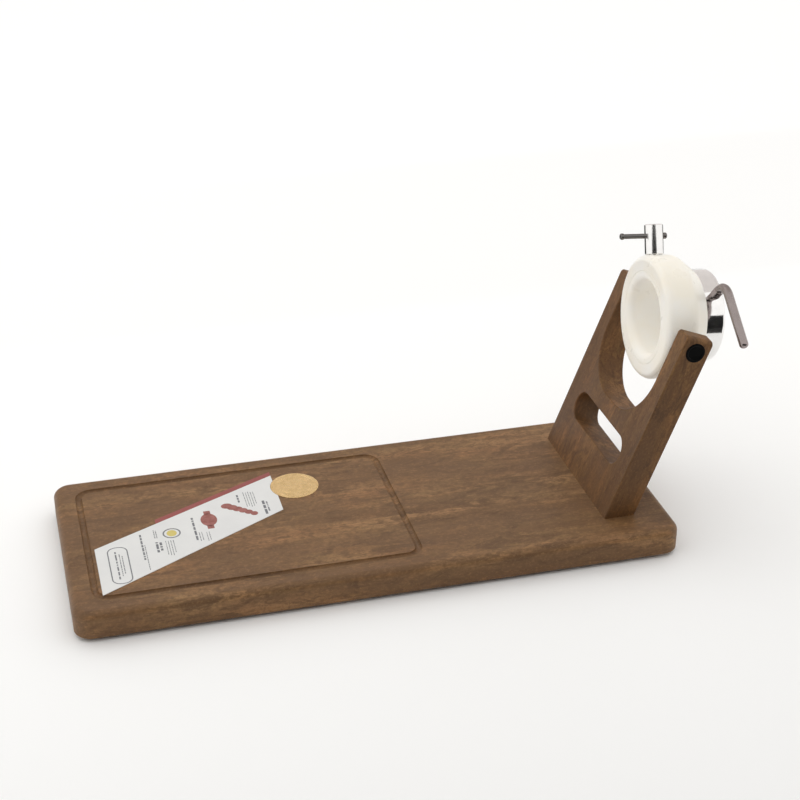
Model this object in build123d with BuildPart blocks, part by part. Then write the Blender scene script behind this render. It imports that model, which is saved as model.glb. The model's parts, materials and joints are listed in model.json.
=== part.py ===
from build123d import *
import os
from math import cos, radians, sin, tan

# Ham holder stand: a grooved wooden board, a leaning wooden fork, and a nylon head that
# tilts between the fork's arms and carries a turning core with a steel clamping ring.
#
# +X runs along the board towards the fork, +Y across it and +Z up. The origin is on the
# surface that the feet stand on, under the middle of the stand's overall length.
# Lengths are in millimetres and angles in degrees.

# ---------------------------------------------------------------- driving dimensions

# base board
board_length = 480
board_width = 198
board_thickness = 22
board_corner = 14
board_top_round = 6
board_bottom_round = 1.5

# juice groove, measured to its centre line
groove_length = 251
groove_from_end = 19
groove_from_side = 19.5
groove_corner = 11
groove_radius = 2.8
groove_depth = 2.5

# rubber feet and the screws that hold them
foot_height = 3
foot_radius = 10
foot_draft = 1
foot_from_end = 34
foot_from_side = 30
foot_screw_radius = 1.75
foot_screw_head_radius = 3.5
foot_screw_head_height = 1.6
foot_screw_length = 14

# fork, drawn in its own leaning plane
fork_lean = 21
fork_from_end = 424.5
arm_width = 17.5
fork_length = 166
fork_thickness = 24
fork_edge_round = 1.2
arm_end_round = 4
gap_floor = 75.3
gap_corner = 44
grip_length = 98
grip_height = 24.5
grip_centre = 48.4

# screws and dowels that join the fork to the board
fork_screw_spacing = 45
fork_screw_radius = 2.5
fork_screw_head_radius = 4.5
fork_screw_head_height = 3.5
fork_screw_recess = 4.5
fork_screw_length = 45
dowel_spacing = 45
dowel_radius = 4
dowel_in_board = 14
dowel_in_fork = 22

# pivot through the arms
pivot_from_arm_end = 11.5
pivot_bolt_radius = 4
pivot_bolt_head_radius = 6.5
pivot_bolt_head_height = 4.5
pivot_socket_radius = 3.2
pivot_socket_depth = 2.2
pivot_recess_radius = 8
pivot_recess_depth = 7
cap_thickness = 1.8
cap_crown = 0.5
bushing_radius = 6
bushing_flange_radius = 7.6
bushing_flange_height = 0.6
washer_radius = 10
washer_thickness = 2.2
washer_clearance = 0.4
spotface_radius = 11
spotface_depth = 0.6

# head: stations run along the ring's axis from the pivot, positive towards its rear
head_tilt = 4.5
housing_wall = 12.25
housing_front = -15.4
housing_rim_end = 8.5
housing_rear = 22.8
housing_rear_wall = 1.25
housing_front_round = 5
housing_shoulder_round = 11
housing_rear_round = 0.6

# turning core and steel ring
core_radius = 37.5
core_gap = 0.25
bore_wall = 3.5
bore_mouth_round = 7
seam_round = 0.3
spigot_start = 4
spigot_end = 22
spigot_round = 0.5
brake_groove_depth = 3
brake_groove_side_gap = 0.5
ring_wall = 5
ring_start_round = 0.5
ring_end = 39.7
ring_end_round = 3
ring_end_inner_round = 1
ring_screw_station = 13
ring_screw_angles = (100, 220, 340)
ring_screw_radius = 2.5
ring_screw_floor = 1.4
ring_screw_below = 0.3
ring_socket_radius = 1.25
ring_socket_depth = 3.4

# threaded inserts in the nylon
insert_radius = 6
insert_floor_wall = 2.25

# brake screw with its tommy bar; angles run round the ring from its top, positive
# towards the near side (-Y)
brake_station = -4.2
brake_angle = -24
brake_head_radius = 7.5
brake_head_height = 24.3
brake_head_chamfer = 0.6
brake_head_above_rim = 0.15
brake_stem_radius = 4
brake_pad_radius = 3.2
bar_below_head_top = 9.3
bar_radius = 2
bar_length = 40
bar_knob_radius = 2.6
bar_knob_length = 3.3
bar_knob_round = 1.2

# clamp lever, one bent rod, and its swivel pad
clamp_station = 32.6
clamp_angle = 40
clamp_swing = 3.5
clamp_rod_radius = 3.6
clamp_end_round = 3.2
clamp_thread_radius = 4
clamp_thread_above_ring = 8.5
clamp_corner_above_ring = 19
clamp_leg = 56
clamp_bend = 10
clamp_pad_face = 17
clamp_pad_radius = 8
clamp_pad_height = 6
clamp_pad_round = 1

# ball-and-socket tips of the two screws
tip_radius = 1.5
tip_length = 2.5
clamp_tip_radius = 2.4
clamp_tip_length = 4

# paper label, its red strip and the foil seal
paper_thickness = 0.3
label_length = 154
label_end_height = 65
label_far_end_height = 56
label_slope = 26.8
label_from_end = 24.2
label_from_side = 22.6
strip_width = 5.5
strip_start = 51
seal_radius = 20
seal_centre = (194.5, 144.3)
seal_gap = 0.2

# clearances
running = 0.05
slack = 0.1
gap = 0.3
# how far a cutter starts or runs outside what it cuts
overcut = 1

# ---------------------------------------------------------------- derived sizes

# the head is built outwards from the core, and the arms stand clear of its washers
bore_radius = core_radius - ring_wall - bore_wall
ring_screw_length = core_radius - ring_screw_below - bore_radius - ring_screw_floor
brake_groove_width = 2 * (brake_pad_radius + brake_groove_side_gap)
bore_in_housing = core_radius + core_gap
housing_radius = bore_in_housing + housing_wall
housing_rear_radius = bore_in_housing + housing_rear_wall
insert_length = housing_wall - spotface_depth - insert_floor_wall
half_gap = housing_radius - spotface_depth + washer_clearance + washer_thickness
gap_width = 2 * half_gap
half_fork = half_gap + arm_width
fork_width = 2 * half_fork
pivot_up_fork = fork_length - pivot_from_arm_end
clamp_thread_end = core_radius + clamp_thread_above_ring
clamp_corner_out = core_radius + clamp_corner_above_ring

# ---------------------------------------------------------------- derived places

lean = radians(fork_lean)
up_fork = Vector(sin(lean), 0, cos(lean))
fork_normal = Vector(cos(lean), 0, -sin(lean))
board_top = foot_height + board_thickness

tilt = radians(head_tilt)
ring_axis = Vector(cos(tilt), 0, -sin(tilt))
ring_up = Vector(sin(tilt), 0, cos(tilt))

# the stand ends at the lever's tip or the steel ring's rear edge, whichever reaches
# further, and that settles where the board sits along X
swing = radians(clamp_swing)
tip_station = clamp_station + clamp_leg * sin(swing)
tip_height = (clamp_corner_out * cos(radians(clamp_angle))
              - clamp_leg * cos(swing) * sin(radians(clamp_angle)))
pivot_from_end = fork_from_end + pivot_up_fork * sin(lean) + fork_thickness / 2 * cos(lean)
lever_reach = (tip_station * cos(tilt) + tip_height * sin(tilt)
               + clamp_rod_radius * cos(swing + tilt))
ring_reach = ((ring_end - ring_end_round) * cos(tilt)
              + (core_radius - ring_end_round) * sin(tilt) + ring_end_round)
overall_length = pivot_from_end + max(lever_reach, ring_reach)
board_left = -overall_length / 2
board_centre = board_left + board_length / 2
board_near = -board_width / 2

fork_foot = Vector(board_left + fork_from_end, 0, board_top)
fork_core = fork_foot + Vector(fork_thickness / 2 / cos(lean), 0, 0)
pivot = fork_foot + up_fork * pivot_up_fork + fork_normal * (fork_thickness / 2)

fork_plane = Plane(origin=fork_foot, x_dir=(0, 1, 0), z_dir=fork_normal)
profile_plane = Plane(origin=pivot, x_dir=ring_axis, z_dir=(0, -1, 0))
ring_line = Axis(pivot, ring_axis)


def radial(angle):
    """Direction out from the ring's axis, at an angle from the ring's top."""
    return ring_up * cos(radians(angle)) + Vector(0, -1, 0) * sin(radians(angle))


def radial_plane(station, angle, radius):
    """Plane that faces outwards from the ring's axis, at a station, angle and radius."""
    origin = pivot + ring_axis * station + radial(angle) * radius
    return Plane(origin=origin, x_dir=ring_axis, z_dir=radial(angle))


def fork_joint_plane(y, along):
    """Plane across the fork's length, facing down it, at a height along the fork."""
    origin = fork_core + up_fork * along + Vector(0, y, 0)
    return Plane(origin=origin, x_dir=(0, 1, 0), z_dir=-up_fork)


def arm_plane(side, distance):
    """Plane on the pivot's axis that faces out past an arm; side is -1 near, +1 far."""
    return Plane(origin=pivot + Vector(0, side * distance, 0), x_dir=ring_axis,
                 z_dir=(0, side, 0))


def post(radius, height, mode=Mode.ADD):
    """Cylinder that stands on the current location and rises along its Z."""
    Cylinder(radius, height, align=(Align.CENTER, Align.CENTER, Align.MIN), mode=mode)


def finish(builder, label):
    """Label a finished piece and write its STEP file."""
    builder.part.label = label
    export_step(builder.part, f"parts/{label}.step")


os.makedirs("parts", exist_ok=True)

# ---------------------------------------------------------------- base

foot_places = [
    Vector(board_centre + side_x * (board_length / 2 - foot_from_end),
           side_y * (board_width / 2 - foot_from_side), 0)
    for side_x in (-1, 1) for side_y in (-1, 1)
]
fork_screw_offsets = (-fork_screw_spacing, 0, fork_screw_spacing)
dowel_offsets = (-dowel_spacing / 2, dowel_spacing / 2)
head_seat = -board_thickness / cos(lean) + fork_screw_recess + fork_screw_head_height

with BuildPart() as base_board:
    with BuildSketch(Plane.XY.offset(foot_height)):
        with Locations((board_centre, 0)):
            RectangleRounded(board_length, board_width, board_corner)
    extrude(amount=board_thickness)
    fillet(base_board.faces().sort_by(Axis.Z)[-1].edges(), board_top_round)
    fillet(base_board.faces().sort_by(Axis.Z)[0].edges(), board_bottom_round)
    # juice groove: a round cutter run along a rounded rectangle
    groove_width = board_width - 2 * groove_from_side
    groove_centre = board_left + groove_from_end + groove_length / 2
    cutter_height = board_top + groove_radius - groove_depth
    with BuildLine(Plane.XY.offset(cutter_height)) as groove_path:
        FilletPolyline(
            (groove_centre, -groove_width / 2),
            (groove_centre + groove_length / 2, -groove_width / 2),
            (groove_centre + groove_length / 2, groove_width / 2),
            (groove_centre - groove_length / 2, groove_width / 2),
            (groove_centre - groove_length / 2, -groove_width / 2),
            radius=(0, groove_corner, groove_corner, groove_corner, groove_corner),
            close=True,
        )
    with BuildSketch(Plane(origin=groove_path.wire() @ 0, z_dir=groove_path.wire() % 0)):
        Circle(groove_radius)
    sweep(path=groove_path.wire(), mode=Mode.SUBTRACT)
    # inclined screw holes and dowel holes for the fork, and pilot holes for the feet
    with Locations(*[fork_joint_plane(y, head_seat) for y in fork_screw_offsets]):
        CounterBoreHole(fork_screw_radius, fork_screw_head_radius + gap, 0,
                        depth=2 * board_thickness)
    with Locations(*[fork_joint_plane(y, 0) for y in dowel_offsets]):
        Hole(dowel_radius, depth=dowel_in_board)
    with Locations(*[place + Vector(0, 0, foot_height) for place in foot_places]):
        post(foot_screw_radius, foot_screw_length - foot_height, Mode.SUBTRACT)
finish(base_board, "base_board")

with BuildPart() as rubber_feet:
    with Locations(*foot_places):
        Cone(foot_radius - foot_draft, foot_radius, foot_height,
             align=(Align.CENTER, Align.CENTER, Align.MIN))
        post(foot_screw_head_radius, foot_screw_head_height, Mode.SUBTRACT)
        post(foot_screw_radius, foot_height, Mode.SUBTRACT)
finish(rubber_feet, "rubber_feet")

with BuildPart() as foot_screws:
    with Locations(*[place + Vector(0, 0, gap) for place in foot_places]):
        post(foot_screw_head_radius, foot_screw_head_height - gap)
    with Locations(*foot_places):
        with Locations((0, 0, foot_screw_head_height)):
            post(foot_screw_radius, foot_screw_length - foot_screw_head_height)
finish(foot_screws, "foot_screws")

# ---------------------------------------------------------------- fork

foot_drop = fork_thickness * tan(lean)

with BuildPart() as fork_upright:
    with BuildSketch(fork_plane):
        with Locations((0, (fork_length - foot_drop) / 2)):
            Rectangle(fork_width, fork_length + foot_drop)
    extrude(amount=fork_thickness)
    with BuildSketch(fork_plane) as fork_gap:
        with Locations((0, gap_floor)):
            Rectangle(gap_width, fork_length, align=(Align.CENTER, Align.MIN))
        fillet(fork_gap.vertices().group_by(Axis.Y)[0], gap_corner)
    extrude(amount=fork_thickness, mode=Mode.SUBTRACT)
    fillet(
        fork_upright.edges().filter_by(Axis(fork_foot, fork_normal))
        .group_by(Axis(fork_foot, up_fork))[-1],
        arm_end_round,
    )
    with BuildSketch(fork_plane):
        with Locations((0, grip_centre)):
            SlotOverall(grip_length, grip_height)
    extrude(amount=fork_thickness, mode=Mode.SUBTRACT)
    fillet(
        fork_upright.faces().filter_by(Axis(fork_foot, fork_normal)).edges()
        .filter_by(lambda edge: edge.center().Z > board_top),
        fork_edge_round,
    )
    split(bisect_by=Plane.XY.offset(board_top), keep=Keep.TOP)
    with Locations(*[fork_joint_plane(y, 0) for y in fork_screw_offsets]):
        Hole(fork_screw_radius, depth=fork_screw_length + head_seat)
    with Locations(*[fork_joint_plane(y, 0) for y in dowel_offsets]):
        Hole(dowel_radius, depth=dowel_in_fork)
    for side in (-1, 1):
        with Locations(arm_plane(side, half_fork)):
            CounterBoreHole(bushing_radius, pivot_recess_radius, pivot_recess_depth,
                            depth=half_fork - half_gap + overcut)
finish(fork_upright, "fork_upright")

with BuildPart() as fork_screws:
    for y in fork_screw_offsets:
        seat = Plane(origin=fork_joint_plane(y, head_seat).origin, x_dir=(0, 1, 0),
                     z_dir=up_fork)
        with Locations(seat):
            post(fork_screw_radius, fork_screw_length)
        with Locations(seat.offset(-fork_screw_head_height)):
            post(fork_screw_head_radius, fork_screw_head_height)
finish(fork_screws, "fork_screws")

with BuildPart() as fork_dowels:
    for y in dowel_offsets:
        with Locations(Plane(origin=fork_joint_plane(y, -dowel_in_board).origin,
                             x_dir=(0, 1, 0), z_dir=up_fork)):
            post(dowel_radius, dowel_in_board + dowel_in_fork)
finish(fork_dowels, "fork_dowels")

# ---------------------------------------------------------------- pivot through the arms

bolt_seat = half_fork - pivot_recess_depth
bolt_end = housing_radius - spotface_depth - insert_length + slack
washer_inside = half_gap - washer_thickness

with BuildPart() as pivot_bushings:
    for side in (-1, 1):
        with Locations(arm_plane(side, half_gap)):
            post(bushing_radius, bolt_seat - half_gap)
        with Locations(arm_plane(side, bolt_seat)):
            post(bushing_flange_radius, bushing_flange_height)
        with Locations(arm_plane(side, half_gap)):
            post(pivot_bolt_radius + running, bolt_seat, Mode.SUBTRACT)
finish(pivot_bushings, "pivot_bushings")

with BuildPart() as spacer_washers:
    for side in (-1, 1):
        with Locations(arm_plane(side, washer_inside)):
            post(washer_radius, washer_thickness)
            post(pivot_bolt_radius + running, washer_thickness, Mode.SUBTRACT)
finish(spacer_washers, "spacer_washers")

with BuildPart() as pivot_bolts:
    for side in (-1, 1):
        head_seat_out = bolt_seat + bushing_flange_height + slack
        with Locations(arm_plane(side, bolt_end)):
            post(pivot_bolt_radius, head_seat_out - bolt_end)
        with Locations(arm_plane(side, head_seat_out)):
            post(pivot_bolt_head_radius, pivot_bolt_head_height)
        with BuildSketch(arm_plane(side, head_seat_out + pivot_bolt_head_height)):
            RegularPolygon(pivot_socket_radius, 6)
        extrude(amount=-pivot_socket_depth, mode=Mode.SUBTRACT)
finish(pivot_bolts, "pivot_bolts")

with BuildPart() as pivot_caps:
    for side in (-1, 1):
        with Locations(arm_plane(side, half_fork - cap_thickness + cap_crown)):
            post(pivot_recess_radius, cap_thickness)
    fillet(
        pivot_caps.faces().filter_by(Axis.Y)
        .filter_by(lambda face: abs(face.center().Y) > half_fork).edges(),
        cap_crown,
    )
finish(pivot_caps, "pivot_caps")

# ---------------------------------------------------------------- tilting head

brake_pad_seat = core_radius - brake_groove_depth + gap
brake_insert_floor = housing_radius - insert_length
brake_stem_seat = brake_insert_floor + gap
brake_pad_length = brake_stem_seat - slack - brake_pad_seat
brake_head_seat = housing_radius + brake_head_above_rim
insert_floor = housing_radius - spotface_depth - insert_length

with BuildPart() as head_housing:
    with BuildSketch(profile_plane):
        with BuildLine():
            FilletPolyline(
                (housing_front, bore_in_housing),
                (housing_front, housing_radius),
                (housing_rim_end, housing_radius),
                (housing_rear, housing_rear_radius),
                (housing_rear, bore_in_housing),
                radius=(0, housing_front_round, housing_shoulder_round,
                        housing_rear_round, 0),
                close=True,
            )
        make_face()
    revolve(axis=ring_line)
    for side in (-1, 1):
        with Locations(arm_plane(side, housing_radius - spotface_depth)):
            post(spotface_radius, 2 * spotface_depth, Mode.SUBTRACT)
        with Locations(arm_plane(side, insert_floor)):
            post(insert_radius, insert_length, Mode.SUBTRACT)
    with Locations(radial_plane(brake_station, brake_angle, brake_insert_floor)):
        post(insert_radius, housing_radius, Mode.SUBTRACT)
    with Locations(radial_plane(brake_station, brake_angle, bore_in_housing - overcut)):
        post(brake_pad_radius + gap, housing_radius - bore_in_housing, Mode.SUBTRACT)
finish(head_housing, "head_housing")

with BuildPart() as pivot_inserts:
    for side in (-1, 1):
        with Locations(arm_plane(side, insert_floor)):
            post(insert_radius, insert_length)
            post(pivot_bolt_radius, insert_length, Mode.SUBTRACT)
finish(pivot_inserts, "pivot_inserts")

with BuildPart() as brake_insert:
    with Locations(radial_plane(brake_station, brake_angle, brake_insert_floor)):
        post(insert_radius, insert_length - gap)
        post(brake_stem_radius + running, insert_length, Mode.SUBTRACT)
finish(brake_insert, "brake_insert")

with BuildPart() as brake_pad:
    with Locations(radial_plane(brake_station, brake_angle, brake_pad_seat)):
        post(brake_pad_radius, brake_pad_length)
    with Locations(radial_plane(brake_station, brake_angle,
                                brake_pad_seat + brake_pad_length - tip_length - slack)):
        post(tip_radius + slack, tip_length + 2 * slack, Mode.SUBTRACT)
finish(brake_pad, "brake_pad")

bar_height = brake_head_seat + brake_head_height - bar_below_head_top
# at rest the rear knob lies against the head
bar_rear = brake_station + brake_head_radius + slack + bar_knob_length
bar_front = bar_rear - bar_length


def bar_plane(station):
    """Plane across the tommy bar, facing rearwards, at a station along the ring's axis."""
    origin = pivot + ring_axis * station + radial(brake_angle) * bar_height
    return Plane(origin=origin, x_dir=radial(brake_angle), z_dir=ring_axis)


with BuildPart() as brake_screw:
    with Locations(radial_plane(brake_station, brake_angle, brake_head_seat)):
        post(brake_head_radius, brake_head_height)
    chamfer(
        brake_screw.faces().filter_by(Axis((0, 0, 0), radial(brake_angle))).edges(),
        brake_head_chamfer,
    )
    with Locations(radial_plane(brake_station, brake_angle, brake_stem_seat)):
        post(brake_stem_radius, brake_head_seat - brake_stem_seat)
    with Locations(radial_plane(brake_station, brake_angle, brake_stem_seat - tip_length)):
        post(tip_radius, tip_length)
    with Locations(bar_plane(brake_station - brake_head_radius)):
        post(bar_radius + slack, 2 * brake_head_radius, Mode.SUBTRACT)
finish(brake_screw, "brake_screw")

with BuildPart() as tommy_bar:
    with Locations(bar_plane(bar_front + bar_knob_length / 2)):
        post(bar_radius, bar_length - bar_knob_length)
finish(tommy_bar, "tommy_bar")

with BuildPart() as tommy_knobs:
    for start in (bar_front, bar_rear - bar_knob_length):
        with Locations(bar_plane(start)):
            post(bar_knob_radius, bar_knob_length)
    fillet(tommy_knobs.edges().filter_by(GeomType.CIRCLE), bar_knob_round)
    with Locations(bar_plane(bar_front + bar_knob_length / 2)):
        post(bar_radius, bar_length - bar_knob_length, Mode.SUBTRACT)
finish(tommy_knobs, "tommy_knobs")

# ---------------------------------------------------------------- turning core and ring

ring_inner_radius = core_radius - ring_wall
groove_start = brake_station - brake_groove_width / 2
groove_end = brake_station + brake_groove_width / 2
groove_floor = core_radius - brake_groove_depth
ring_screw_outside = core_radius - ring_screw_below
ring_screw_inside = ring_screw_outside - ring_screw_length

with BuildPart() as turning_core:
    with BuildSketch(profile_plane):
        with BuildLine():
            FilletPolyline(
                (housing_front, bore_radius),
                (housing_front, core_radius),
                (groove_start, core_radius),
                (groove_start, groove_floor),
                (groove_end, groove_floor),
                (groove_end, core_radius),
                (spigot_start, core_radius),
                (spigot_start, ring_inner_radius),
                (spigot_end, ring_inner_radius),
                (spigot_end, bore_radius),
                radius=(bore_mouth_round, seam_round, 0, 0, 0, 0, 0, 0, spigot_round,
                        spigot_round),
                close=True,
            )
        make_face()
    revolve(axis=ring_line)
    for angle in ring_screw_angles:
        with Locations(radial_plane(ring_screw_station, angle, ring_screw_inside)):
            post(ring_screw_radius, ring_screw_length, Mode.SUBTRACT)
finish(turning_core, "turning_core")

with BuildPart() as steel_ring:
    with BuildSketch(profile_plane):
        with BuildLine():
            FilletPolyline(
                (spigot_start, ring_inner_radius),
                (spigot_start, core_radius),
                (ring_end, core_radius),
                (ring_end, ring_inner_radius),
                radius=(0, ring_start_round, ring_end_round, ring_end_inner_round),
                close=True,
            )
        make_face()
    revolve(axis=ring_line)
    for angle in ring_screw_angles:
        with Locations(radial_plane(ring_screw_station, angle, ring_screw_inside)):
            post(ring_screw_radius, core_radius, Mode.SUBTRACT)
    with Locations(radial_plane(clamp_station, clamp_angle, ring_inner_radius - overcut)):
        post(clamp_thread_radius + running, ring_wall + 2 * overcut, Mode.SUBTRACT)
finish(steel_ring, "steel_ring")

with BuildPart() as ring_screws:
    for angle in ring_screw_angles:
        with Locations(radial_plane(ring_screw_station, angle, ring_screw_inside)):
            post(ring_screw_radius, ring_screw_length)
        with BuildSketch(radial_plane(ring_screw_station, angle, ring_screw_outside)):
            RegularPolygon(ring_socket_radius, 6)
        extrude(amount=-ring_socket_depth, mode=Mode.SUBTRACT)
finish(ring_screws, "ring_screws")

# ---------------------------------------------------------------- clamp lever

clamp_out = radial(clamp_angle)
clamp_along = (
    (ring_up * -sin(radians(clamp_angle)) - Vector(0, 1, 0) * cos(radians(clamp_angle)))
    * cos(swing)
    + ring_axis * sin(swing)
)
clamp_pad_back = clamp_pad_face + clamp_pad_height
clamp_root = pivot + ring_axis * clamp_station
clamp_corner = clamp_root + clamp_out * clamp_corner_out

with BuildPart() as clamp_lever:
    with BuildLine() as lever_path:
        FilletPolyline(
            clamp_root + clamp_out * (clamp_pad_back + slack),
            clamp_corner,
            clamp_corner + clamp_along * clamp_leg,
            radius=clamp_bend,
        )
    with BuildSketch(Plane(origin=lever_path.wire() @ 0, z_dir=clamp_out)):
        Circle(clamp_rod_radius)
    sweep(path=lever_path.wire())
    fillet(
        clamp_lever.faces().filter_by(GeomType.PLANE)
        .sort_by_distance(clamp_corner + clamp_along * clamp_leg)[0].edges(),
        clamp_end_round,
    )
    with Locations(radial_plane(clamp_station, clamp_angle, clamp_pad_back + slack)):
        post(clamp_thread_radius, clamp_thread_end - clamp_pad_back - slack)
    with Locations(radial_plane(clamp_station, clamp_angle,
                                clamp_pad_back + slack - clamp_tip_length)):
        post(clamp_tip_radius, clamp_tip_length)
finish(clamp_lever, "clamp_lever")

with BuildPart() as clamp_pad:
    with Locations(radial_plane(clamp_station, clamp_angle, clamp_pad_face)):
        post(clamp_pad_radius, clamp_pad_height)
    fillet(clamp_pad.edges().filter_by(GeomType.CIRCLE), clamp_pad_round)
    with Locations(radial_plane(clamp_station, clamp_angle,
                                clamp_pad_back - clamp_tip_length)):
        post(clamp_tip_radius + slack, clamp_tip_length, Mode.SUBTRACT)
finish(clamp_pad, "clamp_pad")

# ---------------------------------------------------------------- label and seal

label_corner = Vector(board_left + label_from_end,
                      board_near + label_from_side + label_end_height)
rise = label_length * tan(radians(label_slope))
seal_middle = (board_left + seal_centre[0], board_near + seal_centre[1])

with BuildPart() as paper_label:
    with BuildSketch(Plane.XY.offset(board_top)):
        with BuildLine():
            Polyline(
                (label_corner.X, label_corner.Y),
                (label_corner.X, label_corner.Y - label_end_height),
                (label_corner.X + label_length,
                 label_corner.Y + rise - label_far_end_height),
                (label_corner.X + label_length, label_corner.Y + rise),
                close=True,
            )
        make_face()
        with Locations(seal_middle):
            Circle(seal_radius + seal_gap, mode=Mode.SUBTRACT)
    extrude(amount=paper_thickness)
finish(paper_label, "paper_label")

strip_corner = label_corner + Vector(strip_start, strip_start * tan(radians(label_slope)))
strip_rise = strip_width / cos(radians(label_slope))
strip_run = label_length - strip_start

with BuildPart() as red_strip:
    with BuildSketch(Plane.XY.offset(board_top)):
        with BuildLine():
            Polyline(
                (strip_corner.X, strip_corner.Y),
                (strip_corner.X + strip_run, label_corner.Y + rise),
                (strip_corner.X + strip_run, label_corner.Y + rise + strip_rise),
                (strip_corner.X, strip_corner.Y + strip_rise),
                close=True,
            )
        make_face()
        with Locations(seal_middle):
            Circle(seal_radius + seal_gap, mode=Mode.SUBTRACT)
    extrude(amount=paper_thickness)
finish(red_strip, "red_strip")

with BuildPart() as foil_seal:
    with BuildSketch(Plane.XY.offset(board_top)):
        with Locations(seal_middle):
            Circle(seal_radius)
    extrude(amount=paper_thickness)
finish(foil_seal, "foil_seal")
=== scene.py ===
import bpy
import json
import numpy as np
from math import cos, pi, radians, sin
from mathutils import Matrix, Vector

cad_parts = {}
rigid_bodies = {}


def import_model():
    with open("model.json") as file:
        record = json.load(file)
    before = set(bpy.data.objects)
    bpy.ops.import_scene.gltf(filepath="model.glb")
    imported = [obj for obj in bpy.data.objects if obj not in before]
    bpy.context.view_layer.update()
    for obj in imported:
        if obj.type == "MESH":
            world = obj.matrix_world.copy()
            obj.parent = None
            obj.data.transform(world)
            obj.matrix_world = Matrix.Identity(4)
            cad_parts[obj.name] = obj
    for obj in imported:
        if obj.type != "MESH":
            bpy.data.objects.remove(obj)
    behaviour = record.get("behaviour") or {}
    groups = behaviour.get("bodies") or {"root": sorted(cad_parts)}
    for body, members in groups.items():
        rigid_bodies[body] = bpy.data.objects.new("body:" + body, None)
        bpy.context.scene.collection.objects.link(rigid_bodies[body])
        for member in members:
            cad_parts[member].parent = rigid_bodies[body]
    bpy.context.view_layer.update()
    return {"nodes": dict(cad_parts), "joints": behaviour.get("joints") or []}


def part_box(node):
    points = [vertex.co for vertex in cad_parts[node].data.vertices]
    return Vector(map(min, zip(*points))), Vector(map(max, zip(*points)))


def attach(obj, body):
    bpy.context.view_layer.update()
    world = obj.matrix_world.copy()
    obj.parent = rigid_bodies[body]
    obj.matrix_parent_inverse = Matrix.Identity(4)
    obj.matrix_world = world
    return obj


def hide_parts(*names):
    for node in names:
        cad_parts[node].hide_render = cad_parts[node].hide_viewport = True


# Ham holder stand in metres, +X along the board towards the fork, +Z up. The frame's
# own pieces keep their shapes and get their finishes here. The clamp lever, the foil
# seal, the arm caps and the feet are drawn again with finer detail, and the label gets
# its print.

for leftover in list(bpy.data.objects):
    bpy.data.objects.remove(leftover)
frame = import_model()
nodes = frame["nodes"]
scene = bpy.context.scene

MM = 0.001
SAME_POINT = 1e-8
across_board = np.array((0.0, 1.0, 0.0))
upward = np.array((0.0, 0.0, 1.0))
joints = {joint["name"]: joint for joint in frame["joints"]}
board_low, board_high = (np.array(corner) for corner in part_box("base_board"))
pivot = np.array(joints["head_turn"]["pos_m"])
ring_axis = np.array(joints["head_turn"]["axis"])
brake_out = -np.array(joints["brake_turn"]["axis"])
clamp_out = -np.array(joints["clamp_turn"]["axis"])

# ---------------------------------------------------------------- shapes


def even_angles(count):
    """Angles at even steps round one full turn."""
    return np.arange(count) * 2 * pi / count


def unit(rows):
    """The rows of a table, each brought to length one."""
    return rows / np.linalg.norm(rows, axis=1, keepdims=True)


def square_to(axis):
    """Two unit directions at right angles to an axis and to each other."""
    guide = np.eye(3)[np.argmin(np.abs(axis))]
    across = np.cross(axis, guide)
    across /= np.linalg.norm(across)
    return across, np.cross(axis, across)


def rounded(corners, radii, steps=7):
    """Outline in the plane, from corners and radii in millimetres, whose corners give
    way to arcs. An arc's centre lies on the corner's bisector at radius / sin(half the
    inner angle), and its points turn at even angles from one tangent point to the
    other."""
    corners = np.array(corners, float) * MM
    radii = np.array(radii, float)[:, None] * MM
    back = unit(np.roll(corners, 1, axis=0) - corners)
    ahead = unit(np.roll(corners, -1, axis=0) - corners)
    nearly_one = 0.999999
    cosine = (back * ahead).sum(axis=1, keepdims=True)
    half = np.arccos(np.clip(cosine, -nearly_one, nearly_one)) / 2
    centre = corners + unit(back + ahead) * radii / np.sin(half)
    spoke = corners + back * radii / np.tan(half) - centre
    side = np.sign(back[:, :1] * ahead[:, 1:] - back[:, 1:] * ahead[:, :1])
    turn = side * -(pi - 2 * half) * np.linspace(0, 1, steps)
    x = centre[:, :1] + spoke[:, :1] * np.cos(turn) - spoke[:, 1:] * np.sin(turn)
    y = centre[:, 1:] + spoke[:, :1] * np.sin(turn) + spoke[:, 1:] * np.cos(turn)
    outline = np.stack([x.ravel(), y.ravel()], axis=1)
    step = np.linalg.norm(outline - np.roll(outline, 1, axis=0), axis=1)
    return outline[step > SAME_POINT]


def skin(grid, closed=False):
    """Quads between the neighbours of a grid of points that runs round its columns. A
    row that has shrunk to one point shares one corner; a closed grid also joins its
    last row to its first. The faces are turned outwards by the sign of the enclosed
    volume."""
    index = np.arange(grid.shape[0] * grid.shape[1]).reshape(grid.shape[:2])
    at_pole = np.ptp(grid, axis=1).max(axis=1) < SAME_POINT
    index[at_pole] = index[at_pole][:, :1]
    below, above = index[:-1], index[1:]
    if closed:
        below, above = index, np.roll(index, -1, axis=0)
    quads = np.stack([below, np.roll(below, -1, axis=1),
                      np.roll(above, -1, axis=1), above], axis=-1).reshape(-1, 4)
    points = grid.reshape(-1, 3)
    a, b, c, d = (points[quads[:, k]] - points.mean(axis=0) for k in range(4))
    volume = (a * np.cross(b, c)).sum() + (a * np.cross(c, d)).sum()
    return points, quads if volume > 0 else quads[:, ::-1]


def revolved(outline, origin, axis, around, closed=False):
    """Surface of revolution: an outline point (x, r) sweeps the circle
    origin + axis x + r (across cos t + beside sin t), t over a full turn."""
    across, beside = square_to(axis)
    t = even_angles(around)
    circle = np.cos(t)[:, None] * across + np.sin(t)[:, None] * beside
    x, r = outline.T
    return skin(origin + x[:, None, None] * axis + r[:, None, None] * circle, closed)


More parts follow.
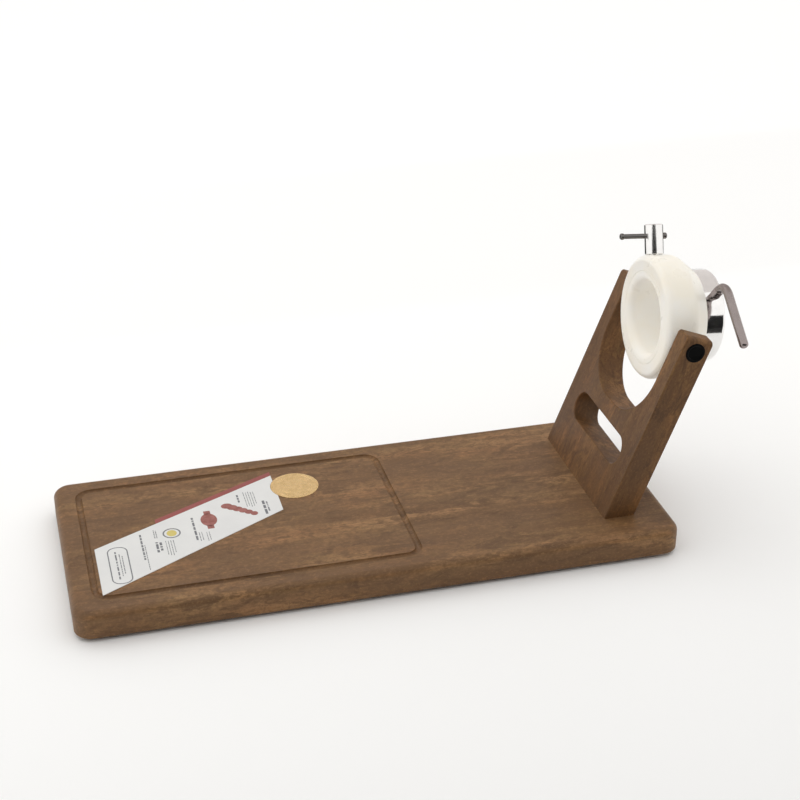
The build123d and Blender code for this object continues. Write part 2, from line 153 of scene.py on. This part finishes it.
def plate(outline, low, high, hole=None):
    """Flat plate: the outline at two heights, with a fan from its middle on both sides,
    or with the walls of a hole of as many points."""
    inside = hole
    if hole is None:
        inside = np.broadcast_to(outline.mean(axis=0), outline.shape)
    rows = [np.insert(edge, 2, height, axis=1) for edge, height in
            ((inside, low), (outline, low), (outline, high), (inside, high))]
    return skin(np.stack(rows), closed=hole is not None)


def piece(name, shells, body, finish, stands_for=(), crease=32):
    """One object from closed shells: their points end to end, each quad with a shared
    corner written as a triangle, smooth below the crease angle and sharp above it."""
    starts = np.cumsum([0] + [len(points) for points, _ in shells[:-1]])
    points = np.concatenate([points for points, _ in shells])
    quads = np.concatenate([quads + start for (_, quads), start in zip(shells, starts)])
    keep = quads != np.roll(quads, -1, axis=1)
    used, corners = np.unique(quads[keep], return_inverse=True)
    sizes = keep.sum(axis=1)
    mesh = bpy.data.meshes.new(name)
    mesh.vertices.add(len(used))
    mesh.vertices.foreach_set("co", points[used].ravel())
    mesh.loops.add(len(corners))
    mesh.loops.foreach_set("vertex_index", corners.ravel())
    mesh.polygons.add(len(sizes))
    mesh.polygons.foreach_set("loop_start", np.cumsum(sizes) - sizes)
    mesh.update(calc_edges=True)
    mesh.validate()
    mesh.shade_smooth()
    mesh.set_sharp_from_angle(angle=radians(crease))
    mesh.materials.append(finish)
    made = bpy.data.objects.new(name, mesh)
    scene.collection.objects.link(made)
    if stands_for:
        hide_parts(*stands_for)
    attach(made, body)


# ---------------------------------------------------------------- finishes


def plug(tree, socket, value):
    """Link a node's output to a socket, or set the socket's own value. A colour of
    three parts gets an alpha of one where the socket holds four."""
    if isinstance(value, bpy.types.NodeSocket):
        tree.links.new(value, socket)
        return
    if isinstance(value, tuple) and len(value) == 3 and len(socket.default_value) == 4:
        value = (*value, 1)
    socket.default_value = value


class Finish:
    """A material in the making: one Principled shader and the nodes that feed it."""

    def __init__(self, name, **constants):
        self.material = bpy.data.materials.new(name)
        self.material.use_nodes = True
        self.tree = self.material.node_tree
        self.shader = self.tree.nodes["Principled BSDF"]
        for socket, value in constants.items():
            self.feed(socket.replace("_", " "), value)
        self.place = self.node("TexCoord").outputs["Object"]

    def node(self, kind, **inputs):
        """New node, with an underscore for each space in its sockets' names."""
        made = self.tree.nodes.new("ShaderNode" + kind)
        for socket, value in inputs.items():
            plug(self.tree, made.inputs[socket.replace("_", " ")], value)
        return made

    def feed(self, socket, value):
        plug(self.tree, self.shader.inputs[socket], value)

    def mapped(self, place, **inputs):
        return self.node("Mapping", Vector=place, **inputs).outputs[0]

    def noise(self, place, scale, detail, roughness=0.5, distortion=0.0):
        return self.node("TexNoise", Vector=place, Scale=scale, Detail=detail,
                         Roughness=roughness, Distortion=distortion).outputs[0]

    def ramp(self, factor, *stops):
        """Value at each stop's position, straight lines between."""
        made = self.tree.nodes.new("ShaderNodeValToRGB")
        elements = made.color_ramp.elements
        while len(elements) < len(stops):
            elements.new(0.5)
        for element, (position, value) in zip(elements, stops):
            element.position = position
            element.color = (value, value, value, 1)
        self.tree.links.new(factor, made.inputs[0])
        return made.outputs[0]

    def mix(self, factor, a, b):
        """Colour between a and b. A Mix node keeps its two colours on inputs 6 and 7
        and gives theirs on output 2."""
        made = self.tree.nodes.new("ShaderNodeMix")
        made.data_type = "RGBA"
        for index, value in ((0, factor), (6, a), (7, b)):
            plug(self.tree, made.inputs[index], value)
        return made.outputs[2]

    def math(self, operation, a, b):
        made = self.tree.nodes.new("ShaderNodeMath")
        made.operation = operation
        plug(self.tree, made.inputs[0], a)
        plug(self.tree, made.inputs[1], b)
        return made.outputs[0]

    def relief(self, height, strength, distance):
        """Bumps whose full height is the distance, in metres."""
        self.feed("Normal", self.node("Bump", Height=height, Strength=strength,
                                      Distance=distance).outputs[0])


finishes = {}


def shade(colour, *amounts):
    """The colour times one amount, or times an amount for each of its channels."""
    each = amounts if len(amounts) == len(colour) else amounts * len(colour)
    return tuple(channel * amount for channel, amount in zip(colour, each))


def stained_wood(name, grain_turn, shift, tone):
    """Brown stained hardwood with its grain along the turned X axis: soft warm and
    olive clouds, growth bands, short dark curls, fine fibres and open pores. Each layer
    covers the colour below it by the share that two stops give its pattern."""
    wood = Finish(name, Roughness=0.5, Specular_IOR_Level=0.32)
    grain = wood.mapped(wood.place, Rotation=(0, grain_turn, 0), Location=shift)
    drawn = wood.mapped(grain, Scale=(0.3, 1, 1))
    long = wood.mapped(grain, Scale=(0.05, 1, 1))
    # Each pattern's place, then its scale, detail, roughness and distortion.
    clouds = wood.noise(drawn, 26, 5, 0.55)
    tint = wood.noise(wood.mapped(drawn, Location=(3, 1, 2)), 34, 4, 0.6)
    bands = wood.noise(wood.mapped(grain, Scale=(0.12, 1, 1)), 60, 3, 0.5, 0.4)
    curls = wood.noise(wood.mapped(drawn, Location=(5, 7, 1)), 62, 5, 0.62, 1.4)
    specks = wood.noise(wood.mapped(grain, Scale=(0.5, 1, 1), Location=(9, 2, 4)),
                        230, 4, 0.7, 0.5)
    grit = wood.noise(wood.mapped(grain, Scale=(0.7, 1, 1)), 520, 3, 0.7)
    fibres = wood.noise(long, 620, 3, 0.6)
    pores = wood.noise(wood.mapped(long, Location=(2, 8, 5)), 980, 2, 0.5)
    warm = shade(tone, 1.05, 0.98, 0.90)
    olive = shade(tone, 0.96, 1.07, 0.98)
    faded = shade(tone, 1.38, 1.45, 1.6)
    layers = (
        (tint, (0.38, 0), (0.62, 1), warm),
        (clouds, (0.40, 0.7), (0.58, 0), shade(tone, 0.52)),
        (clouds, (0.50, 0), (0.68, 0.7), faded),
        (bands, (0.42, 0.8), (0.55, 0), shade(tone, 0.5)),
        (curls, (0.535, 0), (0.63, 0.9), shade(tone, 0.36)),
        (specks, (0.38, 0.95), (0.52, 0), shade(tone, 0.5)),
        (grit, (0.36, 0.42), (0.50, 0), shade(tone, 0.45)),
        (grit, (0.52, 0), (0.66, 0.26), shade(tone, 1.6)),
        (fibres, (0.36, 0.5), (0.60, 0), shade(tone, 0.6)),
        (pores, (0.30, 0.6), (0.38, 0), shade(tone, 0.34)),
    )
    base = olive
    for pattern, first_stop, last_stop, colour in layers:
        base = wood.mix(wood.ramp(pattern, first_stop, last_stop), base, colour)
    wood.feed("Base Color", base)
    wood.feed("Roughness", wood.ramp(clouds, (0.3, 0.46), (0.7, 0.6)))
    height = wood.math("ADD", wood.math("MULTIPLY", fibres, 0.5),
                       wood.ramp(pores, (0.30, 0), (0.4, 0.5)))
    wood.relief(height, strength=0.3, distance=0.3 * MM)
    finishes[name] = wood.material


def mottled(name, light, dark, cloud_scale, rough=(0.4, 0.5), pebbled=0.0, **constants):
    """Moulded, painted or printed surface: two near colours in soft clouds, a roughness
    that varies between two values and, if asked, a fine pebbled relief."""
    pebble_scale, pebble_depth = 2600, 0.2 * MM
    made = Finish(name, **constants)
    clouds = made.noise(made.place, cloud_scale, 4, 0.55)
    covered = made.ramp(clouds, (0.38, 0), (0.66, 1))
    made.feed("Base Color", made.mix(covered, light, dark))
    smears = made.noise(made.place, cloud_scale * 3, 3)
    made.feed("Roughness", made.ramp(smears, (0.3, rough[0]), (0.7, rough[1])))
    if pebbled:
        made.relief(made.noise(made.place, pebble_scale, 2), pebbled, pebble_depth)
    finishes[name] = made.material


def turned_metal(name, colour, axis, rough=(0.06, 0.12)):
    """Metal turned on a lathe: fine rings square to its axis, and faint smears in its
    colour and gloss. Its coordinates are turned so that the axis lies along X."""
    ring_stretch, ring_scale, ring_strength, ring_depth = 0.004, 5200, 0.05, 0.08 * MM
    smear_shade = 0.93
    made = Finish(name, Metallic=1.0)
    turn = Vector(axis).rotation_difference(Vector((1, 0, 0))).to_euler()
    along = made.mapped(made.place, Rotation=tuple(turn))
    stretched = made.mapped(along, Scale=(1, ring_stretch, ring_stretch))
    rings = made.noise(stretched, ring_scale, 3, 0.7)
    smears = made.noise(along, 75, 4, 0.6)
    covered = made.ramp(smears, (0.35, 0), (0.65, 1))
    made.feed("Base Color", made.mix(covered, colour, shade(colour, smear_shade)))
    made.feed("Roughness", made.ramp(smears, (0.3, rough[0]), (0.7, rough[1])))
    made.relief(rings, ring_strength, ring_depth)
    finishes[name] = made.material


board_tone = (0.276, 0.143, 0.060)
fork_tone = (0.215, 0.1, 0.034)
dowel_tone = (0.5, 0.35, 0.2)
chrome = (0.92, 0.91, 0.9)
satin = (0.22, 0.3)
fork_grain = radians(69)

stained_wood("board_wood", 0, (0.3, 0.02, 0.08), board_tone)
stained_wood("fork_wood", fork_grain, (0.1, 0.21, 0.33), fork_tone)
stained_wood("dowel_wood", fork_grain, (0.7, 0.1, 0.2), dowel_tone)

turned_metal("ring_steel", chrome, ring_axis)
turned_metal("brake_steel", chrome, brake_out)
turned_metal("bar_steel", (0.18, 0.17, 0.165), ring_axis, rough=(0.22, 0.34))
turned_metal("lever_steel", (0.33, 0.285, 0.275), clamp_out, rough=satin)
turned_metal("bolt_steel", (0.45, 0.44, 0.43), across_board, rough=satin)
turned_metal("brass", (0.68, 0.48, 0.22), brake_out, rough=(0.2, 0.3))
turned_metal("zinc_steel", (0.6, 0.61, 0.62), upward, rough=(0.28, 0.4))

mottled("rubber", light=(0.018, 0.018, 0.018), dark=(0.03, 0.03, 0.03), cloud_scale=60,
        rough=(0.6, 0.8), pebbled=0.2)
# The white nylon's emission is painted light: a faint cream glow that stands in for
# light shining through the translucent nylon into its bore and front face.
mottled("white_nylon", light=(0.80, 0.785, 0.745), dark=(0.80, 0.755, 0.66),
        cloud_scale=24, rough=(0.26, 0.36), pebbled=0.03, Subsurface_Weight=0.2,
        Subsurface_Radius=(1.0, 0.9, 0.75), Subsurface_Scale=0.003,
        Emission_Color=(1.0, 0.94, 0.82), Emission_Strength=0.13)
mottled("black_plastic", light=(0.002, 0.002, 0.002), dark=(0.004, 0.004, 0.004),
        cloud_scale=90, rough=(0.35, 0.5), pebbled=0.1, Specular_IOR_Level=0.06)
mottled("bearing_plastic", light=(0.6, 0.6, 0.58), dark=(0.52, 0.52, 0.5),
        cloud_scale=90)
mottled("paper", light=(0.72, 0.72, 0.71), dark=(0.69, 0.69, 0.685), cloud_scale=40,
        rough=(0.35, 0.45))
mottled("red_paper", light=(0.30, 0.065, 0.058), dark=(0.26, 0.055, 0.05),
        cloud_scale=60, rough=(0.38, 0.48))
mottled("gold_foil", light=(0.86, 0.62, 0.31), dark=(0.74, 0.52, 0.24), cloud_scale=300,
        rough=(0.2, 0.3), Metallic=0.9)
mottled("print_grey", light=(0.13, 0.135, 0.15), dark=(0.2, 0.205, 0.22),
        cloud_scale=400)
mottled("print_red", light=(0.26, 0.075, 0.06), dark=(0.36, 0.13, 0.11),
        cloud_scale=260)
mottled("print_yellow", light=(0.62, 0.52, 0.16), dark=(0.6, 0.48, 0.12),
        cloud_scale=260)

# A node not named here gets the finish that its slot is named after.
own_finish = {
    "base_board": "board_wood", "fork_upright": "fork_wood", "steel_ring": "ring_steel",
    "brake_screw": "brake_steel", "tommy_bar": "bar_steel", "tommy_knobs": "bar_steel",
    "ring_screws": "bar_steel", "clamp_lever": "lever_steel",
    "clamp_pad": "lever_steel", "pivot_bolts": "bolt_steel",
}
for name, node in nodes.items():
    slot = node.data.materials[0].name.split(".")[0]
    node.data.materials[0] = finishes[own_finish.get(name, slot)]

# ---------------------------------------------------------------- clamp lever

# Lengths along the lever are counted from the ring's axis, outwards.
core_radius = 37.5 * MM
clamp_root = np.array(joints["clamp_turn"]["pos_m"]) - clamp_out * core_radius
swing = radians(3.5)
lever_along = np.cross(ring_axis, clamp_out) * cos(swing) + ring_axis * sin(swing)
tip_start, stud_start, thread_end = 19.1 * MM, 23.1 * MM, 46 * MM
corner_out, bend, leg = 56.5 * MM, 10 * MM, 56 * MM
rod_radius, tip_radius, end_round = 3.6 * MM, 2.4 * MM, 3.2 * MM
thread_radius, thread_depth, pitch = 4 * MM, 0.68 * MM, 1.25 * MM
tip_chamfer, lead_step, run_out_length = 0.5 * MM, 0.6 * MM, 1.2 * MM
bend_start = corner_out - bend
rod_end = bend_start + bend * pi / 2 + leg - bend


def bent_rod(s, radius, around=56):
    """Rod round an L-shaped line. The line runs straight out, turns a quarter circle
    with angle (s - bend start) / bend radius, and runs straight along. Round it goes a
    circle whose radius is given at each s and angle t."""
    t = even_angles(around)
    s = s[:, None]
    angle = np.clip((s - bend_start) / bend, 0, pi / 2)
    centre = (clamp_root + clamp_out * np.minimum(s, bend_start)
              + bend * (clamp_out * np.sin(angle) + lever_along * (1 - np.cos(angle)))
              + lever_along * np.maximum(s - bend_start - bend * pi / 2, 0))
    inward = lever_along * np.cos(angle) - clamp_out * np.sin(angle)
    level = np.cross(clamp_out, lever_along)
    reach = radius(s, t)[..., None]
    return skin(centre[:, None] + reach * (inward[:, None] * np.cos(t)[:, None]
                                           + level * np.sin(t)[:, None]))


def lever_radius(s, t):
    """The tip and the plain rod are steps of constant radius, the tip with a chamfer.
    The stud's thread falls from its crest by depth * clipped triangle of the fraction
    of s / pitch - t / full turn, and runs out into the rod. The far end rounds off as
    a quarter circle."""
    turn_share = np.abs(2 * np.mod(s / pitch - t / (2 * pi), 1) - 1)
    groove = np.clip(1.3 * turn_share - 0.15, 0, 1)
    thread = thread_radius - thread_depth * groove
    lead_in = np.minimum(thread, tip_radius + lead_step + (s - stud_start))
    run_out = np.clip((s - thread_end + run_out_length) / run_out_length, 0, 1)
    stud = lead_in * (1 - run_out) + rod_radius * run_out
    left = np.clip(s - rod_end + end_round, 0, end_round)
    rod = rod_radius - end_round + np.sqrt(np.maximum(end_round ** 2 - left ** 2, 0))
    tip = np.minimum(tip_radius, tip_radius - tip_chamfer + (s - tip_start))
    radius = np.where(s < stud_start, tip, np.where(s < thread_end, stud, rod)) + 0 * t
    radius[[0, -1]] = 0
    return radius


tip_rows, thread_rows, rod_rows, end_rows = 6, 250, 44, 9
before_stud, after_thread = 0.001 * MM, 0.01 * MM
lever_steps = np.concatenate([
    [tip_start], np.linspace(tip_start, stud_start - before_stud, tip_rows),
    np.linspace(stud_start, thread_end, thread_rows),
    np.linspace(thread_end + after_thread, rod_end - end_round, rod_rows),
    rod_end - end_round + end_round * np.sin(np.linspace(0, pi / 2, end_rows)),
    [rod_end]])
piece("lever", [bent_rod(lever_steps, lever_radius)], "clamp_handle",
      finishes["lever_steel"], ["clamp_lever"], crease=40)

# ---------------------------------------------------------------- caps and feet

# A cap's outline gives its distances from the stand's middle and its radii, with a dish
# in the outer face.
cap_back, cap_face, dish_edge, dish_middle = 67.7, 70, 69.4, 69.3
cap_radius, rim_radius, dish_radius = 7.97, 6.3, 5.6
cap_outline = rounded([(cap_back, 0), (cap_back, cap_radius), (cap_face, cap_radius),
                       (cap_face, rim_radius), (dish_edge, dish_radius),
                       (dish_middle, 0)], (0, 0.3, 0.5, 0.4, 0.6, 0))
cap_outline = cap_outline[cap_outline[:, 1] >= 0]
cap_origin = np.array((pivot[0], 0, pivot[2]))
piece("arm_caps", [revolved(cap_outline, cap_origin, side * across_board, 72)
                   for side in (-1, 1)],
      "stand", finishes["black_plastic"], ["pivot_caps"])

# A foot's outline gives heights and radii: a flared side, and a bore for its screw with
# a wider seat for the screw's head.
foot_height, seat_height = 3, 1.6
sole_radius, top_radius, seat_radius, bore_radius = 9, 10, 3.5, 1.75
seat_edge = seat_radius + 0.5
foot_outline = rounded(
    [(0, seat_edge), (0, sole_radius), (1, 9.3), (1.5, 9.5),
     (foot_height, top_radius), (foot_height, bore_radius), (seat_height, bore_radius),
     (seat_height, seat_radius), (0, seat_radius)],
    (0, 0.7, 0.1, 0.1, 0, 0, 0, 0, 0.3))
foot_along, foot_across = 206 * MM, 69 * MM
board_middle = (board_low[0] + board_high[0]) / 2
foot_places = [np.array((board_middle + foot_along * end, foot_across * side, 0))
               for end in (-1, 1) for side in (-1, 1)]
piece("feet", [revolved(foot_outline, place, upward, 64, closed=True)
               for place in foot_places],
      "stand", finishes["rubber"], ["rubber_feet"])

# ---------------------------------------------------------------- foil seal

seal_low, seal_high = (np.array(corner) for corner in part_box("foil_seal"))
seal_middle = (seal_low + seal_high) / 2
seal_radius = (seal_high[0] - seal_low[0]) / 2
emboss_height = 0.3 * MM
rim_start, foil_edge = 0.985, 0.998


def bump(r, place, width):
    """Bell curve across the radius."""
    return np.exp(-((r - place) / width) ** 2)


def embossing(r, t):
    """Height of the foil at radius r (in parts of the seal's radius) and angle t: two
    raised rings, a rim of 72 radial ribs, a wreath whose beads are a product of
    cosines, a rosette of eight petals, cos(4 t) squared times an arch along r, and a
    heart."""
    rings = bump(r, 0.86, 0.014) + bump(r, 0.62, 0.014)
    fade = 0.02
    ribs = ((0.5 + 0.5 * np.cos(72 * t)) * np.clip((r - 0.885) / fade, 0, 1)
            * np.clip((rim_start - r) / fade, 0, 1))
    beads = np.clip(np.cos(20 * t), 0, 1) * bump(r, 0.74, 0.05)
    spaced = np.clip(np.cos(40 * t + 0.6) * 2 - 0.4, 0, 1)
    petals = np.cos(4 * t) ** 2 * np.sin(np.clip(r / 0.54, 0, 1) * pi) ** 1.5
    heart = bump(r, 0, 0.09)
    return 0.9 * rings + 0.7 * ribs + 0.8 * beads * spaced + 0.8 * petals + heart


seal_turn = even_angles(576)
seal_reach = np.concatenate([[0], np.linspace(0.012, rim_start, 104), [foil_edge]])
seal_reach = seal_reach[:, None]
relief = emboss_height * embossing(seal_reach, seal_turn)
top_face = np.stack([seal_middle[0] + seal_radius * seal_reach * np.cos(seal_turn),
                     seal_middle[1] + seal_radius * seal_reach * np.sin(seal_turn),
                     seal_high[2] + relief * (seal_reach < foil_edge)], axis=-1)
top_face[0, :, 2] = seal_high[2] + emboss_height
rim = top_face[-1:].copy()
rim[..., :2] = seal_middle[:2] + (rim[..., :2] - seal_middle[:2]) / foil_edge
rim[..., 2] = seal_low[2]
under = np.zeros_like(rim) + (seal_middle[0], seal_middle[1], seal_low[2])
piece("seal", [skin(np.concatenate([top_face, rim, under]))], "stand",
      finishes["gold_foil"], ["foil_seal"], crease=60)

# ---------------------------------------------------------------- label print

# Places on the label are in millimetres from the board's corner.
paper_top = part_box("paper_label")[1][2]
print_low, print_high = paper_top - 0.02 * MM, paper_top + 0.03 * MM
words = np.random.default_rng(11)


def on_board(x, y):
    """Points given in millimetres from the board's corner, in metres."""
    placed = np.broadcast_arrays(board_low[0] + x * MM, board_low[1] + y * MM)
    return np.stack(placed, axis=-1)


def bar(x, y, wide, long):
    """Printed bar: a rectangle with its corner at (x, y)."""
    return plate(on_board(np.array((x, x + wide, x + wide, x)),
                          np.array((y, y, y + long, y + long))), print_low, print_high)


def disc(x, y, rx, ry, lift=0.0):
    """Printed oval, raised a little by its lift: x + rx cos t, y + ry sin t."""
    t = even_angles(40)
    return plate(on_board(x + rx * np.cos(t), y + ry * np.sin(t)), print_low,
                 print_high + lift * MM)


def frame_outline(x, y, half_x, half_y, corner):
    """Outline of a rounded rectangle round a middle."""
    outline = rounded([(x - half_x, y - half_y), (x + half_x, y - half_y),
                       (x + half_x, y + half_y), (x - half_x, y + half_y)],
                      [corner] * 4)
    return outline + board_low[:2]


def row_of_words(x, y, wide, long, letter):
    """A line of print along Y: bars of random length between even gaps. A letter sets
    the shortest bar's length, and the gap is half of it."""
    ends = np.cumsum(words.uniform(letter, 3.4 * letter, 40))
    ends = ends[ends < long - letter]
    starts = np.concatenate([[0], ends + 0.5 * letter])
    stops = np.concatenate([ends, [long]])
    return [bar(x, y + start, wide, stop - start) for start, stop in zip(starts, stops)]


box_line, box_corner = 0.9, 7
box_x, box_y, box_half_x, box_half_y = 41, 60.5, 8, 26
box_hole = frame_outline(box_x, box_y, box_half_x - box_line, box_half_y - box_line,
                         box_corner - box_line)
grey_print = [plate(frame_outline(box_x, box_y, box_half_x, box_half_y, box_corner),
                    print_low, print_high, hole=box_hole)]
# Each line of print: x and y of its start, its width, its length and its letter.
text_lines = (
    (38.6, 41, 1.2, 39, 3), (41.6, 45, 0.7, 31, 1.6), (43.6, 48, 0.7, 25, 1.6),
    (60.2, 63, 1.5, 37, 2.4), (62.6, 48, 0.6, 36, 1.4),
    (71.6, 92, 0.7, 12, 1.3), (73.2, 92, 0.7, 11, 1.3), (71.4, 71, 1.9, 15, 2.6),
    (74.4, 73, 1.9, 12, 2.6), (79.2, 66, 0.55, 20, 1.2), (81.2, 64.5, 0.55, 21, 1.2),
    (83.2, 64, 0.55, 22, 1.2), (85.2, 68, 0.55, 18, 1.2),
    (103.4, 81, 1.7, 34, 2.4), (106.6, 79, 0.55, 13, 1.2), (108.6, 80, 0.55, 12, 1.2),
    (112.4, 78, 0.55, 13, 1.2), (114.4, 79, 0.55, 12, 1.2),
    (144.6, 129, 1.5, 12, 2.2), (150.6, 121, 0.55, 23, 1.2),
    (152.6, 122, 0.55, 21, 1.2), (154.6, 120, 0.55, 24, 1.2),
    (156.6, 121, 0.55, 22, 1.2), (158.6, 124, 0.55, 19, 1.2),
    (163.4, 106, 2.1, 21, 2.8), (166.6, 110, 1.2, 15, 2.0),
)
for line in text_lines:
    grey_print += row_of_words(*line)
spot_x, spot_y = 85.7, 96.3
circle_turn = even_angles(48)
spot_ring, spot_hole = (on_board(spot_x + r * np.cos(circle_turn),
                                 spot_y + r * np.sin(circle_turn)) for r in (7.2, 6.0))
grey_print.append(plate(spot_ring, print_low, print_high, hole=spot_hole))
piece("label_print", grey_print, "stand", finishes["print_grey"])

# Pictures in red: a whole ham with a knob at both ends, and a row of slices that get
# smaller. Each slice lies a little higher than the last.
ham = [disc(117.3, 108.8, 6.6, 9.5), bar(114.6, 95.2, 5.4, 5.0),
       bar(114.6, 117.4, 5.4, 5.0)]
slices = [disc(134.5 + 20 * share, 126 - 16.5 * share, 4.6 - 1.6 * share,
               4.0 - 0.9 * share, 0.01 + 0.02 * share)
          for share in np.linspace(0, 1, 6)]
piece("label_pictures", ham + slices, "stand", finishes["print_red"])
piece("label_spot", [disc(spot_x, spot_y, 4.0, 4.6)], "stand",
      finishes["print_yellow"])

# ---------------------------------------------------------------- studio

camera_before_board, camera_back, camera_height = 0.0259, 1.1378, 0.7361
camera_pitch, camera_yaw = radians(62.28), radians(-14.73)
camera_data = bpy.data.cameras.new("camera")
camera_data.lens = 75.5
camera_data.sensor_width = 36
camera_data.clip_end = 30
camera = bpy.data.objects.new("camera", camera_data)
camera.location = (board_low[0] - camera_before_board, -camera_back, camera_height)
camera.rotation_euler = (camera_pitch, 0, camera_yaw)
scene.collection.objects.link(camera)
scene.camera = camera
scene.view_settings.view_transform = "Standard"

warm_white, room_strength = (1.0, 0.99, 0.97, 1), 1.08
world = bpy.data.worlds.new("world")
world.use_nodes = True
room_light = world.node_tree.nodes["Background"]
room_light.inputs["Color"].default_value = warm_white
room_light.inputs["Strength"].default_value = room_strength
scene.world = world


def soft_light(name, place, target, size, power):
    """Square-cornered lamp that faces a target."""
    data = bpy.data.lights.new(name, "AREA")
    data.shape = "RECTANGLE"
    data.size, data.size_y = size
    data.energy = power
    light = bpy.data.objects.new(name, data)
    light.location = place
    sight = Vector(target) - Vector(place)
    light.rotation_euler = sight.to_track_quat("-Z", "Y").to_euler()
    scene.collection.objects.link(light)


def studio_sheet(name, edges, colour, hidden_from=()):
    """Sheet of card or paper that belongs to the studio: quads between two lines of as
    many corners each. Rays of the kinds it is hidden from pass through it."""
    near, far = (np.array(edge, float) for edge in edges)
    count = len(near)
    start = np.arange(count - 1)
    quads = np.stack([start, start + 1, start + 1 + count, start + count], axis=1)
    mesh = bpy.data.meshes.new(name)
    mesh.from_pydata(np.concatenate([near, far]).tolist(), [], quads.tolist())
    mesh.materials.append(Finish(name, Base_Color=colour, Roughness=0.8).material)
    sheet = bpy.data.objects.new(name, mesh)
    scene.collection.objects.link(sheet)
    for ray in hidden_from:
        setattr(sheet, "visible_" + ray, False)


def upright(line, *heights):
    """The edges of a card that stands along a line in the plan."""
    return [np.insert(line, 2, height, axis=1) for height in heights]


def level_strip(x_from, x_to, y_near, y_far, height):
    """The edges of a sheet that lies level."""
    return ([(x_from, y_near, height), (x_to, y_near, height)],
            [(x_from, y_far, height), (x_to, y_far, height)])


black, grey, pale = (0.01, 0.01, 0.01), (0.2, 0.2, 0.2), (0.95, 0.95, 0.95)
warm_grey = (0.74, 0.70, 0.685)
reflections_only = ("camera", "diffuse", "shadow", "transmission")
above_floor = 0.004
soft_light("key", place=(-0.5, 0.6, 1.5), target=(0, 0, 0.05), size=(1.2, 1.0), power=2)
studio_sheet("floor", level_strip(-6, 6, -6, 6, 0), pale)
# Dark cards in front, underfoot and behind give the bright metal its dark bands. The
# shade card dims the light on the board's near side, and the grey slope overhead takes
# the glare off the top of the ring.
front_line = np.array([(-0.62, -0.62), (-0.25, -0.95), (0.35, -1.08), (0.6, -1.0),
                       (0.7, -0.96), (1.0, -0.8)])
card_tops = (0.6, 0.8, 0.76, 0.6, 0.51, 0.5)
studio_sheet("dark_card", upright(front_line, 0.0, card_tops), black, reflections_only)
studio_sheet("shade_card", upright(front_line, 0.0, 0.8), grey, ("camera", "glossy"))
studio_sheet("dark_floor", [np.insert(front_line * scale, 2, above_floor, axis=1)
                            for scale in (0.47, 1.0)],
             black, reflections_only)
studio_sheet("dark_back", level_strip(-0.4, 1.3, 0.42, 0.85, above_floor), black,
             reflections_only)
studio_sheet("grey_slope", ([(-1.5, -0.25, 1.9), (2.0, -0.25, 1.9)],
                            [(-3.0, 4.5, 0.0), (5.0, 4.5, 0.0)]),
             warm_grey, reflections_only)
